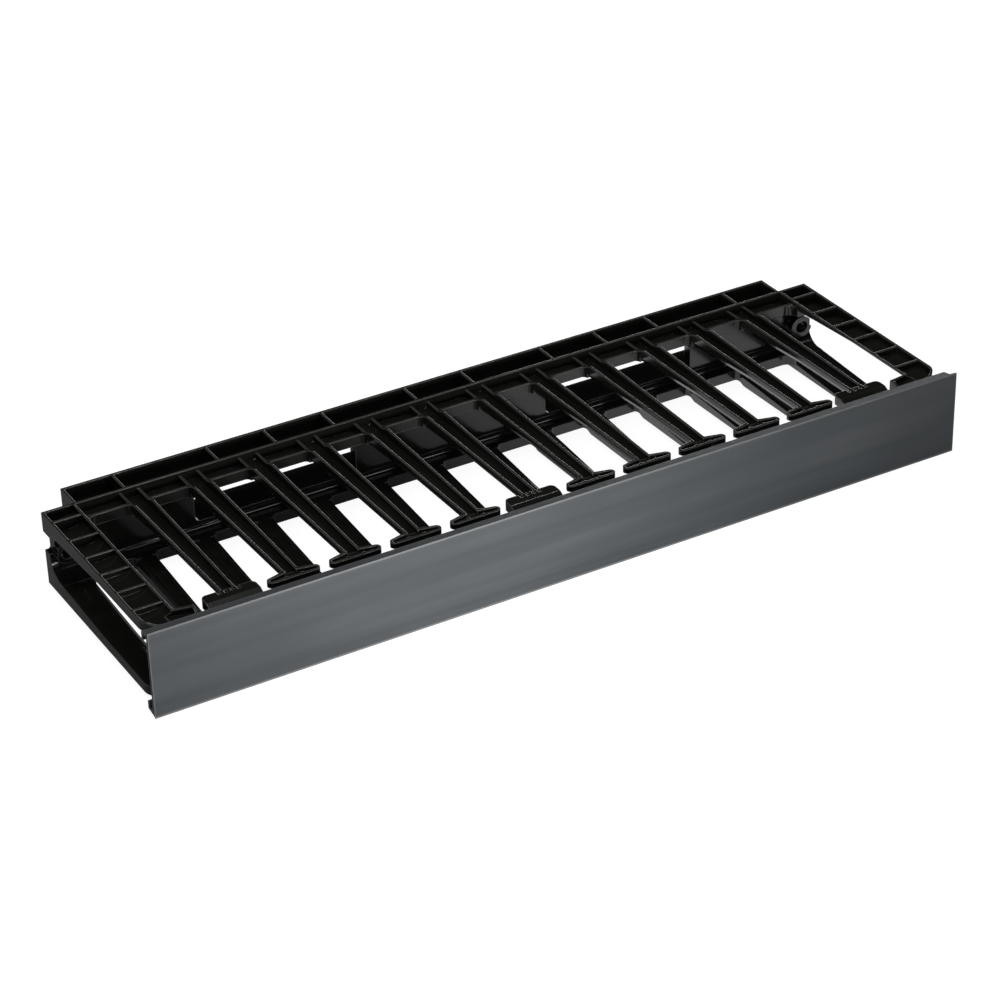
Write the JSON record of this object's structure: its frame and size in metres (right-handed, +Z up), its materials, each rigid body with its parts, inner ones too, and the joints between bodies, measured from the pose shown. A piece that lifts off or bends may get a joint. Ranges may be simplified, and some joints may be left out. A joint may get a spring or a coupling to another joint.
{
  "type": "horizontal cable manager",
  "caption": "Rack-mount horizontal cable manager: a moulded base with upper and lower rows of T-headed fingers, rear pass-through windows and a hinged clip-on front cover.",
  "frame": {"origin": "midway between the two rack slots, on the rack mounting face of the ears", "axes": "+X along the rack width, -Y out of the rack front towards the cover, +Z up"},
  "size_m": [0.49, 0.1572, 0.0498],
  "materials": {
    "base_plastic": "moulded, semi-gloss black",
    "cover_plastic": "extruded, satin blue-black"
  },
  "bodies": {
    "base": {"base_frame": "base_plastic"},
    "cover": {"front_cover": "cover_plastic"}
  },
  "joints": [
    {"name": "cover_hinge", "type": "hinge", "parent": "base", "child": "cover", "pos_m": [0, -0.136, 0.01795], "axis": [-1, 0, 0], "range_deg": [0, 90]}
  ]
}
